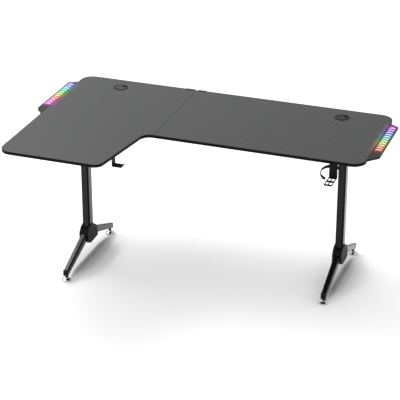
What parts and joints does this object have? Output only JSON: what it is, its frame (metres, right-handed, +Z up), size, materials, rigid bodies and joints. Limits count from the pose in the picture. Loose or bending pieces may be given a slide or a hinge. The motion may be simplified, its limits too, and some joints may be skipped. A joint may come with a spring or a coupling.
{
  "type": "corner desk",
  "caption": "L-shaped corner desk: two-board dark top with edge light panels, cable grommets, cup holder and headphone hook on two splayed T-legs with levelling feet",
  "frame": {"origin": "on the floor under the middle of the desk's outline seen from above", "axes": "+X along the long straight back edge, to the right when sitting at the desk; +Y from the sitter towards the back edge; +Z up"},
  "size_m": [1.69, 1.0014, 0.7523],
  "materials": {
    "carbon laminate": "satin dark grey laminate with a fine woven carbon-fibre pattern on particle board",
    "black edge band": "smooth black plastic edge banding",
    "black plastic": "fine-grained black moulded plastic",
    "black steel": "semi-gloss black powder coat on steel",
    "chrome": "polished chrome plating",
    "zinc steel": "bright zinc plating",
    "glowing diffuser": "translucent milky plastic lit from behind in changing colours",
    "circuit board": "green circuit board lacquer with small light chips"
  },
  "bodies": {
    "desk": {"left_board": "carbon laminate", "left_edge_band": "black edge band", "left_grommet_ring": "black plastic", "left_seam_clip": "black plastic", "left_light_housing": "black plastic", "left_light_base_cover": "black plastic", "left_light_socket": "black plastic", "left_knee_cover_outer": "black plastic", "left_knee_cover_inner": "black plastic", "left_front_end_cap": "black plastic", "left_rear_end_cap": "black plastic", "left_light_diffuser": "glowing diffuser", "left_light_led_strip": "circuit board", "left_light_bracket": "black steel", "left_column": "black steel", "left_top_plate": "black steel", "left_top_arm": "black steel", "left_front_arm": "black steel", "left_rear_arm": "black steel", "left_front_foot_nut": "black steel", "left_rear_foot_nut": "black steel", "right_board": "carbon laminate", "right_edge_band": "black edge band", "right_grommet_ring": "black plastic", "right_seam_clip": "black plastic", "right_light_housing": "black plastic", "right_light_base_cover": "black plastic", "right_light_socket": "black plastic", "right_knee_cover_outer": "black plastic", "right_knee_cover_inner": "black plastic", "right_front_end_cap": "black plastic", "right_rear_end_cap": "black plastic", "right_light_diffuser": "glowing diffuser", "right_light_led_strip": "circuit board", "right_light_bracket": "black steel", "right_column": "black steel", "right_top_plate": "black steel", "right_top_arm": "black steel", "right_front_arm": "black steel", "right_rear_arm": "black steel", "right_front_foot_nut": "black steel", "right_rear_foot_nut": "black steel", "front_cross_rail": "black steel", "rear_cross_rail": "black steel", "front_joining_plate": "zinc steel", "rear_joining_plate": "zinc steel", "hook_outer_screw": "zinc steel", "hook_inner_screw": "zinc steel", "cup_holder_left_screw": "zinc steel", "cup_holder_right_screw": "zinc steel", "headphone_hook": "black plastic", "cup_holder": "black plastic"},
    "left_front_foot": {"left_front_foot": "chrome"},
    "left_rear_foot": {"left_rear_foot": "chrome"},
    "right_front_foot": {"right_front_foot": "chrome"},
    "right_rear_foot": {"right_rear_foot": "chrome"},
    "left_grommet_cap": {"left_grommet_cap": "black plastic"},
    "right_grommet_cap": {"right_grommet_cap": "black plastic"}
  },
  "joints": [
    {"name": "left_front_foot_height", "type": "slide", "parent": "desk", "child": "left_front_foot", "axis": [0, 0, -1], "range_m": [0, 0.01]},
    {"name": "left_rear_foot_height", "type": "slide", "parent": "desk", "child": "left_rear_foot", "axis": [0, 0, -1], "range_m": [0, 0.01]},
    {"name": "right_front_foot_height", "type": "slide", "parent": "desk", "child": "right_front_foot", "axis": [0, 0, -1], "range_m": [0, 0.01]},
    {"name": "right_rear_foot_height", "type": "slide", "parent": "desk", "child": "right_rear_foot", "axis": [0, 0, -1], "range_m": [0, 0.01]},
    {"name": "left_grommet_turn", "type": "hinge", "parent": "desk", "child": "left_grommet_cap", "pos_m": [-0.567, 0.4, 0.75], "axis": [0, 0, 1], "continuous": true},
    {"name": "right_grommet_turn", "type": "hinge", "parent": "desk", "child": "right_grommet_cap", "pos_m": [0.567, 0.4, 0.75], "axis": [0, 0, 1], "continuous": true}
  ]
}
